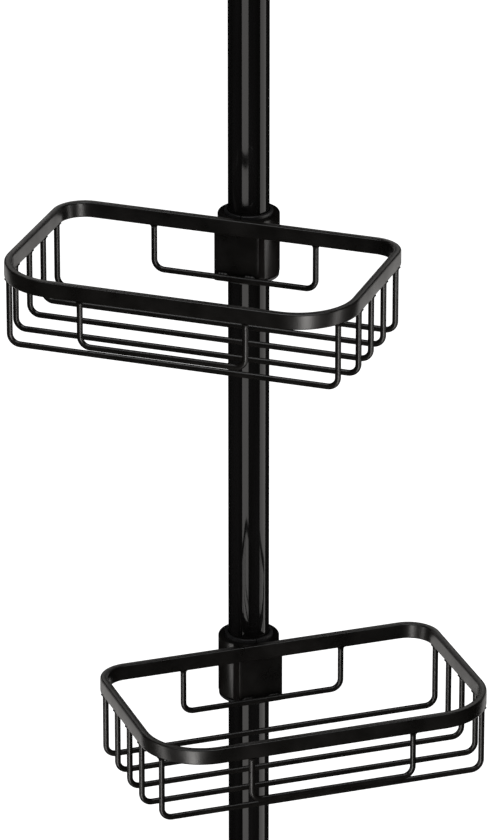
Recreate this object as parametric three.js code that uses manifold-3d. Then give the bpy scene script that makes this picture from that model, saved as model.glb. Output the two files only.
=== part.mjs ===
// A shower caddy: two wire baskets on a telescopic pole that is wedged between two surfaces.
// Millimetres, +Z up. The origin is the centre of the floor pad's underside, on the pole's axis.
import * as THREE from "three";
import { mergeVertices } from "three/addons/utils/BufferGeometryUtils.js";
import Module from "manifold-3d";

const wasm = await Module();
wasm.setup();

// ---- Driving dimensions ----
const GAP = 0.3; // left between pieces that touch
const RUNNING_GAP = 0.3; // left between pieces that slide or turn on each other

const OUTER_TUBE_RADIUS = 12.5;
const MIDDLE_TUBE_RADIUS = 10.6;
const INNER_TUBE_RADIUS = 8.9;
const TUBE_WALL = 1.1;

const OUTER_TUBE_TOP = 670;
const MIDDLE_TUBE_TOP = 730;
const INNER_TUBE_TOP = 790;
const OUTER_TUBE_BOTTOM = 14;
const MIDDLE_TUBE_BOTTOM = 60;
const INNER_TUBE_BOTTOM = 100;

const PAD_RADIUS = 32;
const PAD_HEIGHT = 6;
const PAD_CHAMFER = 1.5;
const CUP_RADIUS = 30;
const CUP_SHOULDER_RADIUS = 24;
const FOOT_LIP = 5;
const FOOT_NECK_WALL = 3.5;
const FOOT_FLARE = 2;
const CEILING_LIP = 4;
const CEILING_NECK_HEIGHT = 10;
const CEILING_FLARE = 3;
const CEILING_FLARE_DROP = 14; // from the cup's top down to where the neck has flared
const PLUNGER_COVER = 8; // the cup's thickness over the plunger's end
const FOOT_HEIGHT = 46;
const PLUNGER_TRAVEL = 30;
const CEILING_CUP_HEIGHT = 34;

const LOWER_RIM_HEIGHT = 215;
const BASKET_SPACING = 279;
const BASKET_SWIVEL = THREE.MathUtils.degToRad(19.2);

const BASKET_LENGTH = 218;
const BASKET_WIDTH = 132;
const BASKET_DEPTH = 50; // from the rim's top to the floor wires' centres
const POLE_SETBACK = 89; // from the pole's axis forward to the basket's centre
const RIM_HEIGHT = 9.6;
const RIM_THICKNESS = 4.8;
const RIM_EDGE = 1;
const FRONT_CORNER = 38;
const BACK_CORNER = 20;
const WIRE_RADIUS = 1.8;
const WIRE_BEND = 6.3; // at the wire's centreline
const WIRE_COUNT = 5;
const WIRE_PITCH = 23;
const GUARD_HALF_WIDTH = 51;
const GUARD_DEPTH = 38; // from the rim's top to the centre of a guard's long bar

const HUB_TOP = -4;
const HUB_HEIGHT = 38;
const HUB_WALL = 2.6;
const BOSS_HALF_WIDTH = 14;
const SLEEVE_WALL = 3;
const SLEEVE_TAPER = 1;

const ROUND_SIDES = 20;
const WIRE_SIDES = 8;
const BEND_STEPS = 4;
const FULL_TURN = Math.PI * 2;

// ---- Materials ----
const paint = (color, roughness, metalness) =>
  new THREE.MeshStandardMaterial({ color, roughness, metalness });
const powderCoat = paint(0x141210, 0.45, 0.2);
const glossBlack = paint(0x0a0a0b, 0.15, 0.3);
const blackPlastic = paint(0x17171a, 0.5, 0);
const blackRubber = paint(0x1d1d1f, 0.85, 0);
const springSteel = paint(0x9a9c9f, 0.3, 1);

// ---- Shape helpers ----
function named(name, geometry, material) {
  const mesh = new THREE.Mesh(geometry, material);
  mesh.name = name;
  return mesh;
}

// A closed outline of [radius, height] pairs turned about the Z axis. It runs anticlockwise.
function turned(outline) {
  const points = outline.map(([radius, height]) => new THREE.Vector2(radius, height));
  if (outline[0][0] > 0) points.push(points[0].clone());
  const geometry = new THREE.LatheGeometry(points, ROUND_SIDES, 0, FULL_TURN);
  return geometry.rotateX(Math.PI / 2);
}

function pipe(innerRadius, outerRadius, bottom, top) {
  return turned([
    [innerRadius, bottom],
    [outerRadius, bottom],
    [outerRadius, top],
    [innerRadius, top],
  ]);
}

function block(low, high) {
  const size = new THREE.Vector3().subVectors(high, low);
  const centre = new THREE.Vector3().addVectors(low, high).multiplyScalar(1 / 2);
  return new THREE.BoxGeometry(size.x, size.y, size.z).translate(centre.x, centre.y, centre.z);
}

function solidOf(geometry) {
  const bare = geometry.clone();
  bare.deleteAttribute("normal");
  bare.deleteAttribute("uv");
  const merged = mergeVertices(bare, 1e-3);
  return new wasm.Manifold(
    new wasm.Mesh({
      numProp: 3,
      vertProperties: new Float32Array(merged.attributes.position.array),
      triVerts: new Uint32Array(merged.index.array),
    }),
  );
}

function geometryOf(solid) {
  const mesh = solid.getMesh();
  const geometry = new THREE.BufferGeometry();
  geometry.setAttribute("position", new THREE.BufferAttribute(mesh.vertProperties, 3));
  geometry.setIndex(new THREE.BufferAttribute(mesh.triVerts, 1));
  geometry.computeVertexNormals();
  return geometry;
}

const joined = (a, b) => geometryOf(solidOf(a).add(solidOf(b)));
const cut = (a, b) => geometryOf(solidOf(a).subtract(solidOf(b)));
const shared = (a, b) => geometryOf(solidOf(a).intersect(solidOf(b)));

// A route given by its own stations, so that a straight stretch costs one step.
class Route extends THREE.Curve {
  constructor(places, directions) {
    super();
    this.places = places;
    this.directions = directions;
  }
  station(share) {
    return Math.round(share * (this.places.length - 1));
  }
  getPoint(share) {
    return this.places[this.station(share)].clone();
  }
  getPointAt(share) {
    return this.getPoint(share);
  }
  getTangentAt(share) {
    return this.directions[this.station(share)].clone();
  }
}

const heading = (from, to) => new THREE.Vector3().subVectors(to, from).normalize();

// Straight stretches between the corners, with an arc of bendRadius at each inner corner.
function bentRoute(corners, bendRadius) {
  const places = [corners[0]];
  const directions = [heading(corners[0], corners[1])];
  for (let i = 1; i < corners.length - 1; i++) {
    const before = heading(corners[i - 1], corners[i]);
    const after = heading(corners[i], corners[i + 1]);
    const turn = before.angleTo(after);
    const inward = after.clone().addScaledVector(before, -before.dot(after)).normalize();
    const start = corners[i].clone().addScaledVector(before, -bendRadius * Math.tan(turn / 2));
    for (let step = 0; step <= BEND_STEPS; step++) {
      const angle = (turn * step) / BEND_STEPS;
      const place = start.clone().addScaledVector(before, bendRadius * Math.sin(angle));
      places.push(place.addScaledVector(inward, bendRadius * (1 - Math.cos(angle))));
      const along = before.clone().multiplyScalar(Math.cos(angle));
      directions.push(along.addScaledVector(inward, Math.sin(angle)));
    }
  }
  places.push(corners.at(-1));
  directions.push(heading(corners.at(-2), corners.at(-1)));
  return new Route(places, directions);
}

function roundSection(radius, sides) {
  const section = new THREE.Shape();
  for (let i = 0; i < sides; i++) {
    const angle = ((i + 0.5) / sides) * FULL_TURN;
    const place = [radius * Math.cos(angle), radius * Math.sin(angle)];
    if (i === 0) section.moveTo(...place);
    else section.lineTo(...place);
  }
  return section;
}

function rod(route, radius, sides) {
  return new THREE.ExtrudeGeometry(roundSection(radius, sides), {
    steps: route.places.length - 1,
    bevelEnabled: false,
    extrudePath: route,
  });
}

// ---- The pole ----
function floorPad() {
  return turned([
    [0, 0],
    [PAD_RADIUS - PAD_CHAMFER, 0],
    [PAD_RADIUS, PAD_CHAMFER],
    [PAD_RADIUS, PAD_HEIGHT],
    [0, PAD_HEIGHT],
  ]);
}

// The cup that holds the outer tube: a wide base that sweeps in to a neck, with a blind socket.
function footCup() {
  const base = PAD_HEIGHT + GAP;
  const neck = OUTER_TUBE_RADIUS + FOOT_NECK_WALL;
  const socket = OUTER_TUBE_RADIUS + GAP;
  return turned([
    [0, base],
    [CUP_RADIUS, base],
    [CUP_RADIUS, base + FOOT_LIP],
    [CUP_SHOULDER_RADIUS, base + 2 * FOOT_LIP],
    [neck + FOOT_FLARE, base + 4 * FOOT_LIP],
    [neck, base + 6 * FOOT_LIP],
    [neck, FOOT_HEIGHT],
    [socket, FOOT_HEIGHT],
    [socket, OUTER_TUBE_BOTTOM - GAP],
    [0, OUTER_TUBE_BOTTOM - GAP],
  ]);
}

const tube = (radius, bottom, top) => pipe(radius - TUBE_WALL, radius, bottom, top);

// The plastic plug at the foot of a sliding tube. Its head runs in the bore of the tube outside it.
function guideBush(tubeRadius, boreRadius, tubeBottom) {
  const headHeight = 13;
  const spigotHeight = 22;
  const spigot = tubeRadius - TUBE_WALL - GAP;
  const shoulder = tubeBottom - GAP;
  return turned([
    [0, shoulder - headHeight],
    [boreRadius - RUNNING_GAP, shoulder - headHeight],
    [boreRadius - RUNNING_GAP, shoulder],
    [spigot, shoulder],
    [spigot, shoulder + spigotHeight],
    [0, shoulder + spigotHeight],
  ]);
}

const LOCK_FERRULE_WALL = 2;
const LOCK_FERRULE_HEIGHT = 28;
const LOCK_COLLET_HEIGHT = 15;
const LOCK_NUT_WALL = 2.6;
const LOCK_NUT_LIP = 4;
const LOCK_NUT_CHAMFER = 3;
const LOCK_SLIT = 2;
const LOCK_COLLET_TAPER = 0.8;
const LOCK_NUT_START = 6; // how far above the ferrule's foot the nut begins

function lockFerrule(tubeRadius, tubeTop) {
  const inner = tubeRadius + GAP;
  return pipe(inner, inner + LOCK_FERRULE_WALL, tubeTop - LOCK_FERRULE_HEIGHT, tubeTop);
}

// A split ring that the nut squeezes onto the sliding tube.
function lockCollet(tubeRadius, slidingRadius, tubeTop) {
  const bottom = tubeTop + 2 * GAP;
  const inner = slidingRadius + RUNNING_GAP;
  const outer = tubeRadius + GAP;
  const ring = turned([
    [inner, bottom],
    [outer, bottom],
    [outer, bottom + LOCK_COLLET_HEIGHT / 2],
    [outer - LOCK_COLLET_TAPER, bottom + LOCK_COLLET_HEIGHT],
    [inner, bottom + LOCK_COLLET_HEIGHT],
  ]);
  const slit = block(
    new THREE.Vector3(0, -LOCK_SLIT / 2, bottom - 1),
    new THREE.Vector3(outer + 1, LOCK_SLIT / 2, bottom + LOCK_COLLET_HEIGHT + 1),
  );
  return cut(ring, slit);
}

function lockNut(tubeRadius, slidingRadius, tubeTop) {
  const skirt = tubeRadius + GAP + LOCK_FERRULE_WALL + RUNNING_GAP;
  const outer = skirt + LOCK_NUT_WALL;
  const bottom = tubeTop - LOCK_FERRULE_HEIGHT + LOCK_NUT_START;
  const ceiling = tubeTop + 2 * GAP + LOCK_COLLET_HEIGHT + GAP;
  const mouth = slidingRadius + RUNNING_GAP;
  return turned([
    [skirt, bottom],
    [outer, bottom],
    [outer, ceiling - LOCK_NUT_CHAMFER],
    [outer - LOCK_NUT_CHAMFER, ceiling + LOCK_NUT_LIP],
    [mouth, ceiling + LOCK_NUT_LIP],
    [mouth, ceiling],
    [skirt, ceiling],
  ]);
}

const SPRING_BOTTOM = 655.6;
const SPRING_TOP = 744.6;
const SPRING_RADIUS = 6.2;
const SPRING_WIRE = 0.9;
const SPRING_TURNS = 9;
const SPRING_STEPS = 9; // in one turn
const SPRING_SEAT_HEIGHT = 10;
const PLUNGER_RADIUS = 4.6;
const PLUNGER_TAIL = 20; // how far the rod reaches down past the spring

function springSeat() {
  const bore = INNER_TUBE_RADIUS - TUBE_WALL;
  const top = SPRING_BOTTOM - GAP;
  return pipe(PLUNGER_RADIUS + RUNNING_GAP, bore - GAP, top - SPRING_SEAT_HEIGHT, top);
}

function pressureSpring() {
  const places = [];
  const directions = [];
  const count = SPRING_TURNS * SPRING_STEPS;
  const low = SPRING_BOTTOM + SPRING_WIRE + GAP;
  const rise = SPRING_TOP - SPRING_WIRE - GAP - low;
  for (let i = 0; i <= count; i++) {
    const angle = (i / SPRING_STEPS) * FULL_TURN;
    const across = new THREE.Vector3(Math.cos(angle), Math.sin(angle), 0);
    places.push(across.multiplyScalar(SPRING_RADIUS).setZ(low + (rise * i) / count));
    const slope = rise / (SPRING_TURNS * FULL_TURN * SPRING_RADIUS);
    directions.push(new THREE.Vector3(-Math.sin(angle), Math.cos(angle), slope).normalize());
  }
  return rod(new Route(places, directions), SPRING_WIRE, 6);
}

const COLLAR_HEIGHT = 5;
const BUSH_FLANGE = 4;

function plungerCollar() {
  const bottom = SPRING_TOP + GAP;
  const outer = INNER_TUBE_RADIUS - TUBE_WALL - RUNNING_GAP;
  return pipe(PLUNGER_RADIUS + GAP, outer, bottom, bottom + COLLAR_HEIGHT);
}

// The plug in the mouth of the inner tube that guides the plunger and stops its collar.
function topBush() {
  const bottom = SPRING_TOP + GAP + COLLAR_HEIGHT + RUNNING_GAP;
  const flange = INNER_TUBE_TOP + GAP;
  return turned([
    [PLUNGER_RADIUS + RUNNING_GAP, bottom],
    [INNER_TUBE_RADIUS - TUBE_WALL - GAP, bottom],
    [INNER_TUBE_RADIUS - TUBE_WALL - GAP, flange],
    [INNER_TUBE_RADIUS, flange],
    [INNER_TUBE_RADIUS, flange + BUSH_FLANGE],
    [PLUNGER_RADIUS + RUNNING_GAP, flange + BUSH_FLANGE],
  ]);
}

const CEILING_CUP_BOTTOM = INNER_TUBE_TOP + BUSH_FLANGE + 2 + PLUNGER_TRAVEL;
const CEILING_CUP_TOP = CEILING_CUP_BOTTOM + CEILING_CUP_HEIGHT;
const PLUNGER_TOP = CEILING_CUP_TOP - PLUNGER_COVER;

function plungerRod() {
  const bottom = SPRING_BOTTOM - PLUNGER_TAIL;
  return turned([
    [0, bottom],
    [PLUNGER_RADIUS, bottom],
    [PLUNGER_RADIUS, PLUNGER_TOP],
    [0, PLUNGER_TOP],
  ]);
}

// The foot cup's counterpart, upside down on the plunger.
function ceilingCup() {
  const neck = OUTER_TUBE_RADIUS;
  const socket = PLUNGER_RADIUS + GAP;
  return turned([
    [socket, CEILING_CUP_BOTTOM],
    [neck, CEILING_CUP_BOTTOM],
    [neck, CEILING_CUP_BOTTOM + CEILING_NECK_HEIGHT],
    [neck + CEILING_FLARE, CEILING_CUP_TOP - CEILING_FLARE_DROP],
    [CUP_SHOULDER_RADIUS, CEILING_CUP_TOP - 2 * CEILING_LIP],
    [CUP_RADIUS, CEILING_CUP_TOP - CEILING_LIP],
    [CUP_RADIUS, CEILING_CUP_TOP],
    [0, CEILING_CUP_TOP],
    [0, PLUNGER_TOP + GAP],
    [socket, PLUNGER_TOP + GAP],
  ]);
}

function ceilingPad() {
  const bottom = CEILING_CUP_TOP + GAP;
  const top = bottom + PAD_HEIGHT;
  return turned([
    [0, bottom],
    [PAD_RADIUS, bottom],
    [PAD_RADIUS, top - PAD_CHAMFER],
    [PAD_RADIUS - PAD_CHAMFER, top],
    [0, top],
  ]);
}

function pole() {
  const group = new THREE.Group();
  const outerBore = OUTER_TUBE_RADIUS - TUBE_WALL;
  const middleBore = MIDDLE_TUBE_RADIUS - TUBE_WALL;
  const lowerLock = [OUTER_TUBE_RADIUS, MIDDLE_TUBE_RADIUS, OUTER_TUBE_TOP];
  const upperLock = [MIDDLE_TUBE_RADIUS, INNER_TUBE_RADIUS, MIDDLE_TUBE_TOP];
  group.add(
    named("floor_pad", floorPad(), blackRubber),
    named("foot_cup", footCup(), blackPlastic),
    named("outer_tube", tube(OUTER_TUBE_RADIUS, OUTER_TUBE_BOTTOM, OUTER_TUBE_TOP), glossBlack),
    named("lower_lock_ferrule", lockFerrule(OUTER_TUBE_RADIUS, OUTER_TUBE_TOP), blackPlastic),
    named("lower_lock_collet", lockCollet(...lowerLock), blackPlastic),
    named("lower_lock_nut", lockNut(...lowerLock), blackPlastic),
    named("middle_tube", tube(MIDDLE_TUBE_RADIUS, MIDDLE_TUBE_BOTTOM, MIDDLE_TUBE_TOP), glossBlack),
    named(
      "middle_guide_bush",
      guideBush(MIDDLE_TUBE_RADIUS, outerBore, MIDDLE_TUBE_BOTTOM),
      blackPlastic,
    ),
    named("upper_lock_ferrule", lockFerrule(MIDDLE_TUBE_RADIUS, MIDDLE_TUBE_TOP), blackPlastic),
    named("upper_lock_collet", lockCollet(...upperLock), blackPlastic),
    named("upper_lock_nut", lockNut(...upperLock), blackPlastic),
    named("inner_tube", tube(INNER_TUBE_RADIUS, INNER_TUBE_BOTTOM, INNER_TUBE_TOP), glossBlack),
    named(
      "inner_guide_bush",
      guideBush(INNER_TUBE_RADIUS, middleBore, INNER_TUBE_BOTTOM),
      blackPlastic,
    ),
    named("spring_seat", springSeat(), blackPlastic),
    named("pressure_spring", pressureSpring(), springSteel),
    named("plunger_collar", plungerCollar(), springSteel),
    named("top_bush", topBush(), blackPlastic),
    named("plunger_rod", plungerRod(), glossBlack),
    named("ceiling_cup", ceilingCup(), blackPlastic),
    named("ceiling_pad", ceilingPad(), blackRubber),
  );
  return group;
}

// ---- A basket, about the pole's axis, with the rim's top at height 0 and the basket towards -Y ----
// A rectangle with its own corner radius at the front and at the back, drawn anticlockwise.
function roundedOutline(inset, PathKind) {
  const halfLength = BASKET_LENGTH / 2 - inset;
  const front = -POLE_SETBACK - BASKET_WIDTH / 2 + inset;
  const back = -POLE_SETBACK + BASKET_WIDTH / 2 - inset;
  const frontRadius = FRONT_CORNER - inset;
  const backRadius = BACK_CORNER - inset;
  const quarter = Math.PI / 2;
  const outline = new PathKind();
  outline.absarc(halfLength - frontRadius, front + frontRadius, frontRadius, -quarter, 0);
  outline.absarc(halfLength - backRadius, back - backRadius, backRadius, 0, quarter);
  outline.absarc(-halfLength + backRadius, back - backRadius, backRadius, quarter, 2 * quarter);
  outline.absarc(
    -halfLength + frontRadius,
    front + frontRadius,
    frontRadius,
    2 * quarter,
    3 * quarter,
  );
  outline.closePath();
  return outline;
}

function rim() {
  const outline = roundedOutline(0, THREE.Shape);
  outline.holes.push(roundedOutline(RIM_THICKNESS, THREE.Path));
  const bar = new THREE.ExtrudeGeometry(outline, {
    depth: RIM_HEIGHT - 2 * RIM_EDGE,
    curveSegments: 3, // to each quarter turn
    bevelThickness: RIM_EDGE,
    bevelSize: RIM_EDGE,
    bevelOffset: -RIM_EDGE,
    bevelSegments: 1,
  });
  return bar.translate(0, 0, RIM_EDGE - RIM_HEIGHT);
}

// Half the distance between the rim's two sides, at its centreline, at a place across the basket.
function rimHalfLength(across) {
  const straight = BASKET_LENGTH / 2 - RIM_THICKNESS / 2;
  const cornerStart = FRONT_CORNER - BASKET_WIDTH / 2;
  if (across >= cornerStart) return straight;
  const radius = FRONT_CORNER - RIM_THICKNESS / 2;
  const run = Math.sqrt(radius ** 2 - (across - cornerStart) ** 2);
  return BASKET_LENGTH / 2 - FRONT_CORNER + run;
}

// A wire that hangs from the rim's underside at -halfSpan and +halfSpan, level in between.
function hangingWire(halfSpan, across, depth) {
  const top = -RIM_HEIGHT - GAP;
  const place = (x, z) => new THREE.Vector3(x, across - POLE_SETBACK, z);
  const corners = [
    place(-halfSpan, top),
    place(-halfSpan, -depth),
    place(halfSpan, -depth),
    place(halfSpan, top),
  ];
  return rod(bentRoute(corners, WIRE_BEND), WIRE_RADIUS, WIRE_SIDES);
}

// The sleeve's outside, which the hub's bore matches with a running gap.
function sleeveCone(extra, bottom, top) {
  const wide = OUTER_TUBE_RADIUS + RUNNING_GAP + SLEEVE_WALL + extra;
  return turned([
    [0, bottom],
    [wide, bottom],
    [wide - SLEEVE_TAPER, top],
    [0, top],
  ]);
}

const SLEEVE_FLANGE = 2.2;

// The two halves of a tapered sleeve. The basket's weight drives the hub down onto the taper.
function sleeveHalf(side) {
  const top = HUB_TOP + 2;
  const bottom = HUB_TOP - HUB_HEIGHT - SLEEVE_FLANGE;
  const bore = OUTER_TUBE_RADIUS + RUNNING_GAP;
  const wide = bore + SLEEVE_WALL;
  const flange = wide + HUB_WALL;
  const ring = turned([
    [bore, bottom],
    [flange, bottom],
    [flange, bottom + SLEEVE_FLANGE - RUNNING_GAP],
    [wide, bottom + SLEEVE_FLANGE - RUNNING_GAP],
    [wide - SLEEVE_TAPER, top],
    [bore, top],
  ]);
  const reach = flange + 1;
  const near = side * GAP;
  const far = side * reach;
  const half = block(
    new THREE.Vector3(Math.min(near, far), -reach, bottom - 1),
    new THREE.Vector3(Math.max(near, far), reach, top + 1),
  );
  return shared(ring, half);
}

// A ring round the sleeve with a flat boss that is welded to the rim and to the back guard.
function hub() {
  const bottom = HUB_TOP - HUB_HEIGHT;
  const outer = OUTER_TUBE_RADIUS + RUNNING_GAP + SLEEVE_WALL + HUB_WALL + RUNNING_GAP;
  const rimFace = -POLE_SETBACK + BASKET_WIDTH / 2;
  const ring = turned([
    [0, bottom],
    [outer, bottom],
    [outer, HUB_TOP],
    [0, HUB_TOP],
  ]);
  const boss = block(
    new THREE.Vector3(-BOSS_HALF_WIDTH, rimFace + GAP, bottom),
    new THREE.Vector3(BOSS_HALF_WIDTH, 0, HUB_TOP),
  );
  return cut(joined(ring, boss), sleeveCone(RUNNING_GAP, bottom, HUB_TOP));
}

function basket(level, swivel, height) {
  const group = new THREE.Group();
  group.rotation.z = swivel;
  group.position.z = height;
  const add = (name, geometry, material) => group.add(named(level + name, geometry, material));
  add("_rim", rim(), powderCoat);
  for (let i = 0; i < WIRE_COUNT; i++) {
    const across = ((WIRE_COUNT - 1) / 2 - i) * WIRE_PITCH;
    const wire = hangingWire(rimHalfLength(across), across, BASKET_DEPTH);
    add("_floor_wire_" + (i + 1), wire, powderCoat);
  }
  const guardPlane = BASKET_WIDTH / 2 - RIM_THICKNESS / 2;
  add("_front_guard", hangingWire(GUARD_HALF_WIDTH, -guardPlane, GUARD_DEPTH), powderCoat);
  add("_back_guard", hangingWire(GUARD_HALF_WIDTH, guardPlane, GUARD_DEPTH), powderCoat);
  add("_hub", hub(), powderCoat);
  add("_sleeve_left", sleeveHalf(-1), blackPlastic);
  add("_sleeve_right", sleeveHalf(1), blackPlastic);
  return group;
}

const group = new THREE.Group();
group.add(
  pole(),
  basket("upper", -BASKET_SWIVEL, LOWER_RIM_HEIGHT + BASKET_SPACING),
  basket("lower", BASKET_SWIVEL, LOWER_RIM_HEIGHT),
);

export default group;
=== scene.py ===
"""Looks for the shower caddy: two wire baskets on a telescopic pole. Metres, in the CAD frame."""

import math

import bpy
from mathutils import Matrix, Vector, noise


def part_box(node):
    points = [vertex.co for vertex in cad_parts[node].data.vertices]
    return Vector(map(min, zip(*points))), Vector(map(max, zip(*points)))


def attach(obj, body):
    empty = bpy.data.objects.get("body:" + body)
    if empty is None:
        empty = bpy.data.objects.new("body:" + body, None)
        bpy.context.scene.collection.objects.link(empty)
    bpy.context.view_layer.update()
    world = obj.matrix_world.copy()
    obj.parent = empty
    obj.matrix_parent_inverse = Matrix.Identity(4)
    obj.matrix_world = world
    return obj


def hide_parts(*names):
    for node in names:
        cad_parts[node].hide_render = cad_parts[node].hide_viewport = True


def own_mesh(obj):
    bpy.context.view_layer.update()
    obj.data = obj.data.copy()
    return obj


MM = 0.001

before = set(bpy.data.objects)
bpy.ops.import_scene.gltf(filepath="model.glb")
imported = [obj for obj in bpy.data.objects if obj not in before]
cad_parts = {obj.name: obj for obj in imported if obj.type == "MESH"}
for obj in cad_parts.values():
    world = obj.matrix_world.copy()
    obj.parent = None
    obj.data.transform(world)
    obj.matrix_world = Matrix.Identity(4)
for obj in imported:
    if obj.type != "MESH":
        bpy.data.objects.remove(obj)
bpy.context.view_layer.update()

# ---- Driving dimensions, in millimetres, as in the CAD ----
SWIVEL = math.radians(19.2)
BASKET_LENGTH = 218
BASKET_WIDTH = 132
BASKET_DEPTH = 50
POLE_SETBACK = 89
RIM_HEIGHT = 9.6
RIM_THICKNESS = 4.8
RIM_EDGE = 1.15
FRONT_CORNER = 38
BACK_CORNER = 20
WIRE_RADIUS = 1.8
WIRE_BEND = 6.3
WIRE_COUNT = 5
WIRE_PITCH = 23
GUARD_HALF_WIDTH = 51
GUARD_DEPTH = 38
HUB_TOP = -4
HUB_HEIGHT = 38
HUB_RADIUS = 18.7
HUB_BORE = 16.1
BOSS_HALF_WIDTH = 14
SLEEVE_BORE = 12.8
SLEEVE_WIDE = 15.8
SLEEVE_NARROW = 14.8
SLEEVE_FLANGE = 18.4

SLEEVE_STANDS_OUT = 2
SLEEVE_FLANGE_DROP = 2.2
SLEEVE_FLANGE_HEIGHT = 1.9
TUBE_WALL = 1.1
FOOT_NECK_WALL = 3.5
CEILING_NECK = 12.5
CEILING_FLARE = 15.5
SPRING_TURNS = 11
SPRING_WIRE = 0.9
NUT_FLUTES = 16

# ---- Details that only the looks have, in millimetres ----
HUB_EDGE = 0.9
HUB_EDGE_SHOULDER = 0.3
HUB_BORE_TAPER = 1
BOSS_GAP = 0.3
WIRE_IN_RIM = 0.2
BEAD_SIZE = 1.1
BEAD_STEP = 0.55
GUARD_BEAD_LENGTH = 8
GROOVE_DEPTH = 0.9
GROOVE_LAND = 2.6
GROOVE_WIDTH = 1.8
FIRST_GROOVE = 5.0
PAD_RIBS = 60
PAD_RIB_DEPTH = 0.35
THREAD_PITCH = 2
THREAD_DEPTH = 0.6
FLUTE_DEPTH = 1.1

# ---- How finely the shapes are divided ----
ROUND_STEPS = 96
HUB_STEPS = 180
NUT_STEPS = 192
PAD_STEPS = 240
SLEEVE_STEPS = 48
RIM_CORNER_STEPS = 22
SPRING_STEPS = 24
WIRE_SIDES = 16
THIN_SIDES = 10
BEND_STEPS = 10
TINY = 1e-6
SMOOTH_ANGLE = math.radians(32)
TURN = 2 * math.pi

RIM_Z = {level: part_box(level + "_rim")[1].z / MM for level in ("upper", "lower")}
TURNED = {"upper": -SWIVEL, "lower": SWIVEL}


def low(node):
    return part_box(node)[0].z / MM


def high(node):
    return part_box(node)[1].z / MM


def radius(node):
    return (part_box(node)[1].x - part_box(node)[0].x) / 2 / MM


# ---- Materials ----
def shader(name):
    material = bpy.data.materials.new(name)
    material.use_nodes = True
    nodes = material.node_tree.nodes
    return material, nodes, material.node_tree.links, nodes["Principled BSDF"]


def speckle(nodes, links, scale, detail, stretch=(1, 1, 1)):
    """A noise value over the object's own coordinates, stretched along an axis where asked."""
    coordinates = nodes.new("ShaderNodeTexCoord")
    mapping = nodes.new("ShaderNodeMapping")
    mapping.inputs["Scale"].default_value = stretch
    texture = nodes.new("ShaderNodeTexNoise")
    texture.inputs["Scale"].default_value = scale
    texture.inputs["Detail"].default_value = detail
    links.new(coordinates.outputs["Object"], mapping.inputs["Vector"])
    links.new(mapping.outputs["Vector"], texture.inputs["Vector"])
    return texture.outputs["Fac"]


def tint(nodes, links, fac, dark, light, socket):
    ramp = nodes.new("ShaderNodeValToRGB")
    ramp.color_ramp.elements[0].position = 0.35
    ramp.color_ramp.elements[0].color = (*dark, 1)
    ramp.color_ramp.elements[1].position = 0.65
    ramp.color_ramp.elements[1].color = (*light, 1)
    links.new(fac, ramp.inputs["Fac"])
    links.new(ramp.outputs["Color"], socket)


def spread(nodes, links, fac, smallest, largest, socket):
    span = nodes.new("ShaderNodeMapRange")
    span.inputs["From Min"].default_value = 0.3
    span.inputs["From Max"].default_value = 0.7
    span.inputs["To Min"].default_value = smallest
    span.inputs["To Max"].default_value = largest
    links.new(fac, span.inputs["Value"])
    links.new(span.outputs["Result"], socket)


def relief(nodes, links, fac, depth, strength, bsdf):
    bump = nodes.new("ShaderNodeBump")
    bump.inputs["Strength"].default_value = strength
    bump.inputs["Distance"].default_value = depth
    links.new(fac, bump.inputs["Height"])
    links.new(bump.outputs["Normal"], bsdf.inputs["Normal"])


def powder_coat():
    """Satin black powder coat: a fine orange peel, a warm cast, uneven gloss."""
    material, nodes, links, bsdf = shader("powder_coat_look")
    bsdf.inputs["Specular IOR Level"].default_value = 0.6
    broad = speckle(nodes, links, scale=55, detail=3)
    peel = speckle(nodes, links, scale=1500, detail=2)
    dark, light = (0.0030, 0.0027, 0.0024), (0.0056, 0.0050, 0.0045)
    tint(nodes, links, broad, dark, light, bsdf.inputs["Base Color"])
    spread(nodes, links, broad, 0.26, 0.35, bsdf.inputs["Roughness"])
    relief(nodes, links, peel, depth=0.00006, strength=0.35, bsdf=bsdf)
    return material


def gloss_enamel():
    """Gloss black enamel on drawn tube: drawing lines along the tube and a slight waviness."""
    material, nodes, links, bsdf = shader("gloss_enamel_look")
    bsdf.inputs["Specular IOR Level"].default_value = 0.35
    drawn = speckle(nodes, links, scale=160, detail=3, stretch=(1, 1, 0.02))
    wave = speckle(nodes, links, scale=26, detail=1, stretch=(1, 1, 0.25))
    dark, light = (0.0022, 0.0021, 0.002), (0.0042, 0.004, 0.004)
    tint(nodes, links, drawn, dark, light, bsdf.inputs["Base Color"])
    spread(nodes, links, drawn, 0.05, 0.10, bsdf.inputs["Roughness"])
    relief(nodes, links, wave, depth=0.0002, strength=0.06, bsdf=bsdf)
    return material


def moulded_plastic():
    """Matt black moulded plastic with a fine spark-eroded texture."""
    material, nodes, links, bsdf = shader("moulded_plastic_look")
    broad = speckle(nodes, links, scale=40, detail=3)
    grain = speckle(nodes, links, scale=2600, detail=1)
    dark, light = (0.009, 0.009, 0.0095), (0.014, 0.014, 0.0145)
    tint(nodes, links, broad, dark, light, bsdf.inputs["Base Color"])
    spread(nodes, links, broad, 0.36, 0.48, bsdf.inputs["Roughness"])
    relief(nodes, links, grain, depth=0.00005, strength=0.3, bsdf=bsdf)
    return material


def dull_rubber():
    """Matt black rubber with faint bloom."""
    material, nodes, links, bsdf = shader("dull_rubber_look")
    bsdf.inputs["Specular IOR Level"].default_value = 0.35
    bloom = speckle(nodes, links, scale=90, detail=4)
    grain = speckle(nodes, links, scale=1800, detail=2)
    dark, light = (0.012, 0.012, 0.0125), (0.022, 0.0215, 0.021)
    tint(nodes, links, bloom, dark, light, bsdf.inputs["Base Color"])
    spread(nodes, links, bloom, 0.68, 0.84, bsdf.inputs["Roughness"])
    relief(nodes, links, grain, depth=0.00008, strength=0.4, bsdf=bsdf)
    return material


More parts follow.
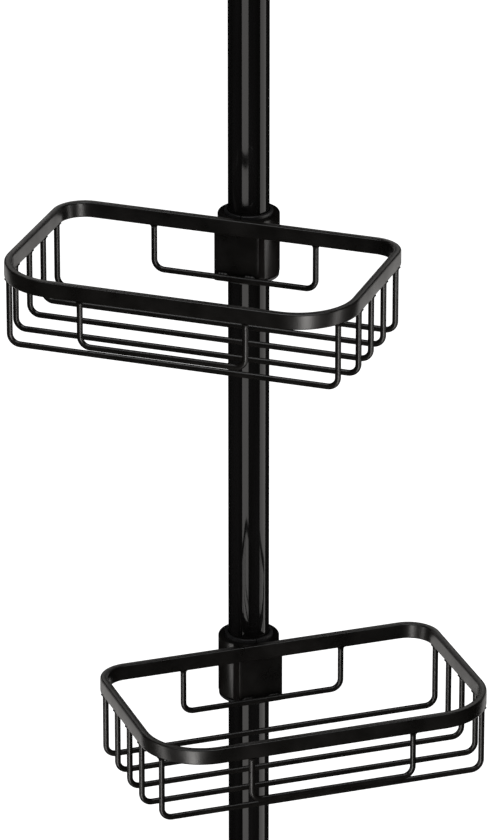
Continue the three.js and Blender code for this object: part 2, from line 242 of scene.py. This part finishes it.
def drawn_steel():
    """Bright spring steel with drawing lines."""
    material, nodes, links, bsdf = shader("drawn_steel_look")
    bsdf.inputs["Metallic"].default_value = 1
    lines = speckle(nodes, links, scale=700, detail=3, stretch=(1, 1, 0.2))
    dark, light = (0.36, 0.36, 0.37), (0.56, 0.56, 0.57)
    tint(nodes, links, lines, dark, light, bsdf.inputs["Base Color"])
    spread(nodes, links, lines, 0.2, 0.36, bsdf.inputs["Roughness"])
    relief(nodes, links, lines, depth=0.00003, strength=0.2, bsdf=bsdf)
    return material


LOOKS = {
    "powder_coat": powder_coat(),
    "gloss_tube": gloss_enamel(),
    "plastic": moulded_plastic(),
    "rubber": dull_rubber(),
    "spring_steel": drawn_steel(),
}


# The pieces that a lamp may be kept to, as flags and gobos do in a studio.
LIT_GROUPS = ("upper", "lower", "rims", "pole")
LIT = {name: bpy.data.collections.new("lit_" + name) for name in LIT_GROUPS}


# ---- Mesh helpers: every shape is worked out in millimetres ----
def piece(name, shape, body, slot, stands_for=(), place=None):
    """A mesh piece in metres, riding on a body, in place of the CAD nodes in stands_for."""
    points, faces = shape
    mesh = bpy.data.meshes.new(name)
    mesh.from_pydata([tuple(c * MM for c in p) for p in points], [], faces)
    if place is not None:
        mesh.transform(place)
    mesh.validate()
    mesh.shade_smooth()
    mesh.set_sharp_from_angle(angle=SMOOTH_ANGLE)
    mesh.materials.append(LOOKS[slot])
    made = bpy.data.objects.new(name, mesh)
    bpy.context.scene.collection.objects.link(made)
    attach(made, body)
    if stands_for:
        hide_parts(*stands_for)
    LIT[body.split("_")[0] if body.endswith("_basket") else "pole"].objects.link(made)
    if name.endswith("_rim_look"):
        LIT["rims"].objects.link(made)
    return made


def together(*shapes):
    points, faces = [], []
    for more_points, more_faces in shapes:
        start = len(points)
        points += more_points
        faces += [[start + i for i in face] for face in more_faces]
    return points, faces


def softened(outline, fillet, steps=3, closed=True):
    """The outline with rounded corners. Where it isn't closed, its two ends stay as they are."""
    count = len(outline)
    soft = []
    for i, corner in enumerate(outline):
        here = Vector(corner)
        if not closed and i in (0, count - 1):
            soft.append(here)
            continue
        before = Vector(outline[i - 1]) - here
        after = Vector(outline[(i + 1) % count]) - here
        reach = min(fillet, before.length * 0.45, after.length * 0.45)
        start = here + before.normalized() * reach
        end = here + after.normalized() * reach
        for step in range(steps + 1):
            t = step / steps
            soft.append(start * (1 - t) ** 2 + here * (2 * t * (1 - t)) + end * t**2)
    return soft


def lathe(profile, steps=ROUND_STEPS, start=0.0, end=TURN, closed=True, ripple=None):
    """(radius, height) points turned about Z. A part turn of a closed profile gets end caps."""
    whole = abs(end - start - TURN) < TINY
    columns = steps if whole else steps + 1
    points, rows = [], []
    for r, z in profile:
        if r < TINY:
            points.append((0, 0, z))
            rows.append([len(points) - 1] * columns)
            continue
        row = []
        for k in range(columns):
            angle = start + (end - start) * k / steps
            size = ripple(r, z, angle) if ripple else r
            points.append((size * math.cos(angle), size * math.sin(angle), z))
            row.append(len(points) - 1)
        rows.append(row)
    faces = []
    last = len(rows) if closed else len(rows) - 1
    for i in range(last):
        a, b = rows[i], rows[(i + 1) % len(rows)]
        for k in range(columns if whole else columns - 1):
            n = (k + 1) % columns
            corners = [a[k], a[n], b[n], b[k]]
            face = [c for j, c in enumerate(corners) if c != corners[j - 1]]
            if len(set(face)) > 2:
                faces.append(face)
    if not whole:
        faces.append([row[0] for row in rows])
        faces.append([row[-1] for row in reversed(rows)])
    return points, faces


def pipe(inner, outer, bottom, top, edge=0.4):
    ring = [(inner, bottom), (outer, bottom), (outer, top), (inner, top)]
    return lathe(softened(ring, edge))


def bent_route(corners, bend):
    """Stations (place, direction) along straight stretches joined by arcs."""
    corners = [Vector(c) for c in corners]
    stations = [(corners[0], (corners[1] - corners[0]).normalized())]
    for i in range(1, len(corners) - 1):
        before = (corners[i] - corners[i - 1]).normalized()
        after = (corners[i + 1] - corners[i]).normalized()
        turn = before.angle(after)
        inward = (after - before * before.dot(after)).normalized()
        start = corners[i] - before * bend * math.tan(turn / 2)
        for step in range(BEND_STEPS + 1):
            angle = turn * step / BEND_STEPS
            place = start + before * bend * math.sin(angle)
            place += inward * bend * (1 - math.cos(angle))
            stations.append((place, before * math.cos(angle) + inward * math.sin(angle)))
    stations.append((corners[-1], (corners[-1] - corners[-2]).normalized()))
    return stations


def tube(stations, size, sides=WIRE_SIDES):
    """A round bar through the stations. size is its radius, or a radius for each station."""
    sizes = size if isinstance(size, list) else [size] * len(stations)
    points, faces = [], []
    across = stations[0][1].orthogonal().normalized()
    for (place, direction), reach in zip(stations, sizes):
        across = (across - direction * across.dot(direction)).normalized()
        upward = direction.cross(across)
        for k in range(sides):
            angle = TURN * k / sides
            spoke = across * math.cos(angle) + upward * math.sin(angle)
            points.append(tuple(place + spoke * reach))
    for i in range(len(stations) - 1):
        for k in range(sides):
            n = (k + 1) % sides
            a, b = i * sides, (i + 1) * sides
            faces.append([a + k, a + n, b + n, b + k])
    faces.append(list(range(sides - 1, -1, -1)))
    faces.append([(len(stations) - 1) * sides + k for k in range(sides)])
    return points, faces


def bead(start, end, size, seed):
    """A weld bead: a short bar with an uneven, scaly back."""
    start, end = Vector(start), Vector(end)
    count = max(6, int((end - start).length / BEAD_STEP))
    direction = (end - start).normalized()
    stations, sizes = [], []
    for i in range(count + 1):
        t = i / count
        taper = min(1, 4 * t + 0.25, 4 * (1 - t) + 0.25)
        ripple = 0.09 * math.sin(i * 2.1) + 0.14 * noise.noise(Vector((i * 0.6, seed, 0)))
        stations.append((start.lerp(end, t), direction))
        sizes.append(size * taper * (1 + ripple))
    return tube(stations, sizes, THIN_SIDES)


# ---- The baskets ----
FRONT = -POLE_SETBACK - BASKET_WIDTH / 2
BACK = -POLE_SETBACK + BASKET_WIDTH / 2


def rim_route():
    """Places on the rim's outer edge, each with its outward direction, anticlockwise from above."""
    half = BASKET_LENGTH / 2
    corners = [
        (half - FRONT_CORNER, FRONT + FRONT_CORNER, FRONT_CORNER, -math.pi / 2),
        (half - BACK_CORNER, BACK - BACK_CORNER, BACK_CORNER, 0),
        (BACK_CORNER - half, BACK - BACK_CORNER, BACK_CORNER, math.pi / 2),
        (FRONT_CORNER - half, FRONT + FRONT_CORNER, FRONT_CORNER, math.pi),
    ]
    route = []
    for x, y, size, first in corners:
        for step in range(RIM_CORNER_STEPS + 1):
            angle = first + math.pi / 2 * step / RIM_CORNER_STEPS
            out = Vector((math.cos(angle), math.sin(angle)))
            route.append((Vector((x, y)) + out * size, out))
    return route


def rim():
    """The flat bar with rounded edges, bent into a closed loop."""
    section = [
        (0, -RIM_HEIGHT),
        (0, 0),
        (-RIM_THICKNESS, 0),
        (-RIM_THICKNESS, -RIM_HEIGHT),
    ]
    section = softened(section, RIM_EDGE, 4)
    route = rim_route()
    size = len(section)
    points, faces = [], []
    for place, out in route:
        for inset, z in section:
            spot = place + out * inset
            points.append((spot.x, spot.y, z))
    for i in range(len(route)):
        a, b = i * size, (i + 1) % len(route) * size
        for k in range(size):
            n = (k + 1) % size
            faces.append([a + k, b + k, b + n, a + n])
    return points, faces


def rim_half_length(across):
    """From the basket's middle to the rim bar's centreline, at a place across the basket."""
    corner_start = FRONT_CORNER - BASKET_WIDTH / 2
    if across >= corner_start:
        return BASKET_LENGTH / 2 - RIM_THICKNESS / 2
    size = FRONT_CORNER - RIM_THICKNESS / 2
    run = math.sqrt(size**2 - (across - corner_start) ** 2)
    return BASKET_LENGTH / 2 - FRONT_CORNER + run


# Distance from the rim's underside, and how much thicker the welded wire is there.
WELD_FILLET = [(0, 1.62), (0.35, 1.4), (0.8, 1.2), (1.4, 1.07), (2.1, 1)]


def hanging_wire(half_span, across, depth, seed):
    """A wire hung from the rim's underside at both ends, each end swelling into its weld."""
    top = WIRE_IN_RIM - RIM_HEIGHT
    y = across - POLE_SETBACK
    corners = [
        (-half_span, y, top),
        (-half_span, y, -depth),
        (half_span, y, -depth),
        (half_span, y, top),
    ]
    middle = bent_route(corners, WIRE_BEND)[1:-1]
    down, up = Vector((0, 0, -1)), Vector((0, 0, 1))
    first, last, first_sizes, last_sizes = [], [], [], []
    for i, (drop, swell) in enumerate(WELD_FILLET):
        lump = 1 + 0.05 * noise.noise(Vector((seed, i, 0)))
        first.append((Vector((-half_span, y, top - drop)), down))
        last.insert(0, (Vector((half_span, y, top - drop)), up))
        first_sizes.append(WIRE_RADIUS * swell * lump)
        last_sizes.insert(0, WIRE_RADIUS * swell * lump)
    sizes = first_sizes + [WIRE_RADIUS] * len(middle) + last_sizes
    return tube(first + middle + last, sizes)


def hub():
    """The ring round the sleeve, with the flat boss that carries the basket."""
    boss_face = BACK + BOSS_GAP

    def outside(angle):
        ring = HUB_RADIUS
        forward = -math.sin(angle)
        if forward <= 0:
            return ring
        side = BOSS_HALF_WIDTH / max(abs(math.cos(angle)), TINY)
        return max(ring, min(side, -boss_face / forward))

    bottom = HUB_TOP - HUB_HEIGHT
    levels = [
        (HUB_EDGE, bottom),
        (HUB_EDGE_SHOULDER, bottom + HUB_EDGE_SHOULDER),
        (0, bottom + HUB_EDGE),
        (0, HUB_TOP - HUB_EDGE),
        (HUB_EDGE_SHOULDER, HUB_TOP - HUB_EDGE_SHOULDER),
        (HUB_EDGE, HUB_TOP),
    ]
    points, faces, rings = [], [], []
    for inset, z in levels:
        rings.append(len(points))
        for k in range(HUB_STEPS):
            angle = TURN * k / HUB_STEPS
            size = outside(angle) - inset
            points.append((size * math.cos(angle), size * math.sin(angle), z))
    for size, z in ((HUB_BORE - HUB_BORE_TAPER, HUB_TOP), (HUB_BORE, bottom)):
        rings.append(len(points))
        for k in range(HUB_STEPS):
            angle = TURN * k / HUB_STEPS
            points.append((size * math.cos(angle), size * math.sin(angle), z))
    for i, a in enumerate(rings):
        b = rings[(i + 1) % len(rings)]
        for k in range(HUB_STEPS):
            n = (k + 1) % HUB_STEPS
            faces.append([a + k, a + n, b + n, b + k])
    return points, faces


def hub_welds():
    """Beads where the boss meets the rim and the back guard."""
    half = BOSS_HALF_WIDTH - 1.5
    bottom = HUB_TOP - 0.1
    guard_y = BACK - RIM_THICKNESS / 2 + 1.2
    low_y, low_z = BACK - 0.4, -RIM_HEIGHT - 0.1
    guard_z = 1.5 - GUARD_DEPTH
    inner = -half + GUARD_BEAD_LENGTH
    return together(
        bead((-half, BACK + 0.2, bottom), (half, BACK + 0.2, bottom), BEAD_SIZE, 1),
        bead((-half, low_y, low_z), (half, low_y, low_z), BEAD_SIZE, 2),
        bead((-half, guard_y, guard_z), (inner, guard_y, guard_z), BEAD_SIZE, 3),
        bead((-inner, guard_y, guard_z), (half, guard_y, guard_z), BEAD_SIZE, 4),
    )


def sleeve_half(side):
    """Half of the split tapered sleeve, with its flange under the hub."""
    top = HUB_TOP + SLEEVE_STANDS_OUT
    bottom = HUB_TOP - HUB_HEIGHT - SLEEVE_FLANGE_DROP
    shoulder = bottom + SLEEVE_FLANGE_HEIGHT
    profile = [
        (SLEEVE_BORE, bottom),
        (SLEEVE_FLANGE, bottom),
        (SLEEVE_FLANGE, shoulder),
        (SLEEVE_WIDE, shoulder),
        (SLEEVE_NARROW, top),
        (SLEEVE_BORE, top),
    ]
    split = 0.02
    start = -math.pi / 2 + split if side > 0 else math.pi / 2 + split
    return lathe(softened(profile, 0.5), SLEEVE_STEPS, start, start + math.pi - 2 * split)


def basket(level):
    turned = Matrix.Rotation(TURNED[level], 4, "Z")
    place = Matrix.Translation((0, 0, RIM_Z[level] * MM)) @ turned
    body = level + "_basket"

    def add(name, shape, slot="powder_coat", rides=body, stands=True):
        node = level + name
        piece(node + "_look", shape, rides, slot, [node] if stands else [], place)

    add("_rim", rim())
    for i in range(WIRE_COUNT):
        across = ((WIRE_COUNT - 1) / 2 - i) * WIRE_PITCH
        wire = hanging_wire(rim_half_length(across), across, BASKET_DEPTH, i)
        add(f"_floor_wire_{i + 1}", wire)
    guard_plane = BASKET_WIDTH / 2 - RIM_THICKNESS / 2
    add("_front_guard", hanging_wire(GUARD_HALF_WIDTH, -guard_plane, GUARD_DEPTH, 7))
    add("_back_guard", hanging_wire(GUARD_HALF_WIDTH, guard_plane, GUARD_DEPTH, 8))
    add("_hub", hub())
    add("_hub_welds", hub_welds(), stands=False)
    add("_sleeve_left", sleeve_half(-1), "plastic", level + "_sleeve")
    add("_sleeve_right", sleeve_half(1), "plastic", level + "_sleeve")


for level in RIM_Z:
    basket(level)


# ---- The pole ----
def pad(node, ground, outward, body):
    """A rubber disc with ring grooves in the face that grips and a ribbed edge."""
    size = radius(node)
    back = ground - outward * (high(node) - low(node))
    profile = [(0, ground)]
    r = FIRST_GROOVE
    while r + GROOVE_LAND < size - 2:
        profile += [
            (r, ground),
            (r + 0.4, ground - outward * GROOVE_DEPTH),
            (r + 1.4, ground - outward * GROOVE_DEPTH),
            (r + GROOVE_WIDTH, ground),
        ]
        r += GROOVE_WIDTH + GROOVE_LAND
    profile += [(size - 1.5, ground), (size, ground - outward * 1.5), (size, back), (0, back)]

    def ribs(r, z, angle):
        depth = PAD_RIB_DEPTH if r > size - 0.1 else 0
        return r - depth * (0.5 + 0.5 * math.cos(PAD_RIBS * angle))

    outline = softened(profile, 0.3, 2, closed=False)
    turned = lathe(outline, PAD_STEPS, closed=False, ripple=ribs)
    piece(node + "_look", turned, body, "rubber", [node])


def foot():
    base, top = low("foot_cup"), high("foot_cup")
    wide, tube_size = radius("foot_cup"), radius("outer_tube")
    neck = tube_size + FOOT_NECK_WALL
    profile = [
        (0, base),
        (wide, base),
        (wide, base + 5),
        (wide - 6, base + 10),
        (neck + 2, base + 20),
        (neck, base + 30),
        (neck, top - 6),
        (neck + 0.7, top - 5),
        (neck + 0.7, top),
        (tube_size + 0.2, top),
        (tube_size + 0.2, top - 20),
        (0, top - 20),
    ]
    shape = lathe(softened(profile, 4, 6, closed=False), closed=False)
    piece("foot_cup_look", shape, "pole", "plastic", ["foot_cup"])


def ceiling():
    base, top = low("ceiling_cup"), high("ceiling_cup")
    wide, rod = radius("ceiling_cup"), radius("plunger_rod")
    profile = [
        (0, base + 6),
        (rod + 0.1, base + 6),
        (rod + 0.1, base),
        (CEILING_NECK, base),
        (CEILING_NECK, base + 10),
        (CEILING_FLARE, base + 20),
        (wide - 6, top - 8),
        (wide, top - 4),
        (wide, top),
        (0, top),
    ]
    shape = lathe(softened(profile, 3, 6, closed=False), closed=False)
    piece("ceiling_cup_look", shape, "plunger", "plastic", ["ceiling_cup"])


def lock(name, sliding, sliding_body, nut_body):
    """A twist lock: the fixed ferrule with its thread, the split collet and the fluted nut."""
    ferrule, nut, collet = name + "_ferrule", name + "_nut", name + "_collet"
    bottom, top, size = low(ferrule), high(ferrule), radius(ferrule)
    thread = [(size - 2, bottom), (size, bottom)]
    z = bottom + 9
    while z + THREAD_PITCH < top:
        thread += [(size, z), (size - THREAD_DEPTH, z + 0.7), (size, z + 1.4)]
        z += THREAD_PITCH
    thread += [(size, top), (size - 2, top)]
    piece(ferrule + "_look", lathe(softened(thread, 0.25, 2)), sliding_body, "plastic", [ferrule])

    bottom, top, size = low(nut), high(nut), radius(nut)
    mouth = radius(sliding) + 0.3
    skirt = size - 2.6
    flute_low, flute_high = bottom + 7, top - 10
    profile = [(skirt, bottom), (size, bottom), (size, bottom + 4), (size - 0.5, bottom + 4.6)]
    profile += [(size - 0.5, bottom + 5.4), (size, bottom + 6)]
    count = 12
    for i in range(count + 1):
        profile.append((size - 0.01, flute_low + (flute_high - flute_low) * i / count))
    profile += [(size, top - 7), (size - 3, top)]
    profile += [(mouth, top), (mouth, top - 4), (skirt, top - 4)]

    def fluted(r, z, angle):
        if r < size - 0.02 or not flute_low <= z <= flute_high:
            return r
        along = (z - flute_low) / (flute_high - flute_low)
        hollow = max(0, math.cos(NUT_FLUTES * angle)) ** 0.8
        return r - FLUTE_DEPTH * math.sin(math.pi * along) ** 0.5 * hollow

    shape = lathe(profile, NUT_STEPS, ripple=fluted)
    piece(nut + "_look", shape, nut_body, "plastic", [nut])
    in_plastic(collet)


def mast(node, body):
    shape = pipe(radius(node) - TUBE_WALL, radius(node), low(node), high(node), 0.35)
    piece(node + "_look", shape, body, "gloss_tube", [node])


def top_bush():
    top, tube_top = high("top_bush"), high("inner_tube")
    size, bore = radius("top_bush"), radius("plunger_rod") + 0.3
    profile = [
        (bore, low("top_bush")),
        (size - 1.4, low("top_bush")),
        (size - 1.4, tube_top + 0.1),
        (size, tube_top + 0.1),
        (size, top),
        (bore, top),
    ]
    shape = lathe(softened(profile, 0.8, 4))
    piece("top_bush_look", shape, "inner_mast", "plastic", ["top_bush"])


def plunger():
    node = "plunger_rod"
    size, bottom, top = radius(node), low(node), high(node)
    profile = [(0, bottom), (size, bottom), (size, top), (0, top)]
    shape = lathe(softened(profile, 0.8, 4, closed=False), closed=False)
    piece(node + "_look", shape, "plunger", "gloss_tube", [node])
    node = "plunger_collar"
    shape = pipe(size + 0.1, radius(node), low(node), high(node), 0.5)
    piece(node + "_look", shape, "plunger", "spring_steel", [node])


def spring():
    """A compression spring with closed ends."""
    node, turns, wire = "pressure_spring", SPRING_TURNS, SPRING_WIRE
    bottom, top = low(node) + wire, high(node) - wire
    dead = 2 * wire
    size = radius("spring_seat") - 1.3
    stations = []
    count = turns * SPRING_STEPS
    for i in range(count + 1):
        t = i / count
        lift = min(1, max(0, (t * turns - 1) / (turns - 2)))
        height = bottom + dead * min(1, t * turns) + (top - bottom - 2 * dead) * lift
        height += dead * max(0, t * turns - turns + 1)
        angle = TURN * t * turns
        place = Vector((size * math.cos(angle), size * math.sin(angle), height))
        stations.append((place, Vector((-math.sin(angle), math.cos(angle), 0.12)).normalized()))
    shape = tube(stations, wire, THIN_SIDES)
    made = piece(node + "_look", shape, "inner_mast", "spring_steel", [node])
    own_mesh(made)


def in_plastic(*nodes):
    """CAD nodes that stay as they are and only get the plastic's look."""
    for node in nodes:
        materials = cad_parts[node].data.materials
        materials.clear()
        materials.append(LOOKS["plastic"])


pad("floor_pad", low("floor_pad"), -1, "pole")
pad("ceiling_pad", high("ceiling_pad"), 1, "plunger")
foot()
ceiling()
mast("outer_tube", "pole")
mast("middle_tube", "middle_mast")
mast("inner_tube", "inner_mast")
lock("lower_lock", "middle_tube", "pole", "lower_lock")
lock("upper_lock", "inner_tube", "middle_mast", "upper_lock")
top_bush()
plunger()
spring()
in_plastic("middle_guide_bush", "inner_guide_bush", "spring_seat")


# ---- The studio ----
WARM_WHITE = (1, 0.975, 0.95)
WORLD_STRENGTH = 0.45
FLOOR_HALF_SIZE = 80
FLOOR_GLOW = 0.66
CAMERA_BACK = 3.727
CAMERA_ABOVE_UPPER_RIM = 1.4778
CAMERA_DOWN = 23.48
LENS = 287.1
LENS_SHIFT = (-0.0044, 0.0017)


def floor():
    mesh = bpy.data.meshes.new("studio_floor")
    size = FLOOR_HALF_SIZE
    corners = [(-size, -size, 0), (size, -size, 0), (size, size, 0), (-size, size, 0)]
    mesh.from_pydata(corners, [], [(0, 1, 2, 3)])
    made = bpy.data.objects.new("studio_floor", mesh)
    bpy.context.scene.collection.objects.link(made)
    material, nodes, links, bsdf = shader("studio_floor_look")
    bsdf.inputs["Roughness"].default_value = 0.9
    bsdf.inputs["Specular IOR Level"].default_value = 0.1
    bsdf.inputs["Emission Color"].default_value = (1, 1, 1, 1)
    bsdf.inputs["Emission Strength"].default_value = FLOOR_GLOW
    patches = speckle(nodes, links, scale=0.8, detail=2)
    tint(nodes, links, patches, (0.84, 0.84, 0.84), (0.88, 0.88, 0.88), bsdf.inputs["Base Color"])
    mesh.materials.append(material)
    made.visible_glossy = False
    made.visible_shadow = False


def panel(name, width, height, power):
    """A rectangular lamp that the camera doesn't see."""
    data = bpy.data.lights.new(name, "AREA")
    data.shape = "RECTANGLE"
    data.size = width
    data.size_y = height
    data.energy = power
    made = bpy.data.objects.new(name, data)
    made.visible_camera = False
    bpy.context.scene.collection.objects.link(made)
    return made


def softbox(name, around, distance, width, height, centre, power, lit):
    """An upright panel that faces the pole, at a bearing from the camera's side, to the right."""
    made = panel(name, width, height, power)
    made.data.color = WARM_WHITE
    bearing = math.radians(around)
    spot = Vector((math.sin(bearing) * distance, -math.cos(bearing) * distance, centre))
    aim = Vector((0, 0, centre)) - spot
    made.location = spot
    made.rotation_euler = aim.to_track_quat("-Z", "Y").to_euler()
    made.light_linking.receiver_collection = LIT[lit]


def studio():
    world = bpy.data.worlds.new("studio_world")
    bpy.context.scene.world = world
    world.use_nodes = True
    background = world.node_tree.nodes["Background"]
    background.inputs["Color"].default_value = (1, 1, 1, 1)
    background.inputs["Strength"].default_value = WORLD_STRENGTH
    world.cycles_visibility.glossy = False
    bpy.context.scene.view_settings.view_transform = "Standard"
    floor()
    panel("overhead", 1.5, 1.5, 16).location = (0, -0.2, 2.3)
    # The two baskets are lit as each other's mirror image.
    for level, side in (("upper", 1), ("lower", -1)):
        softbox(
            level + "_front", around=14 * side, distance=2.0, width=0.55,
            height=2.6, centre=-0.5, power=30, lit=level,
        )
        softbox(
            level + "_side", around=68 * side, distance=1.7, width=0.30,
            height=2.6, centre=-0.4, power=8.0, lit=level,
        )
    for side in (1, -1):
        softbox(
            "rim_back", around=141 * side, distance=1.7, width=0.8,
            height=2.6, centre=-0.4, power=5.5, lit="rims",
        )
        softbox(
            "rim_far", around=172 * side, distance=1.8, width=0.22,
            height=0.9, centre=1.15, power=0.55, lit="rims",
        )
    softbox(
        "pole_front", around=-19, distance=2.0, width=1.25,
        height=2.8, centre=-0.4, power=24.5, lit="pole",
    )
    softbox(
        "pole_side", around=86, distance=1.7, width=1.3,
        height=2.8, centre=-0.4, power=19, lit="pole",
    )


def camera():
    """A long lens, level from side to side, looking down onto the baskets."""
    data = bpy.data.cameras.new("camera")
    data.sensor_width = 36
    data.lens = LENS
    data.shift_x, data.shift_y = LENS_SHIFT
    made = bpy.data.objects.new("camera", data)
    made.location = (0, -CAMERA_BACK, RIM_Z["upper"] * MM + CAMERA_ABOVE_UPPER_RIM)
    made.rotation_euler = (math.radians(90 - CAMERA_DOWN), 0, 0)
    bpy.context.scene.collection.objects.link(made)
    bpy.context.scene.camera = made


studio()
camera()
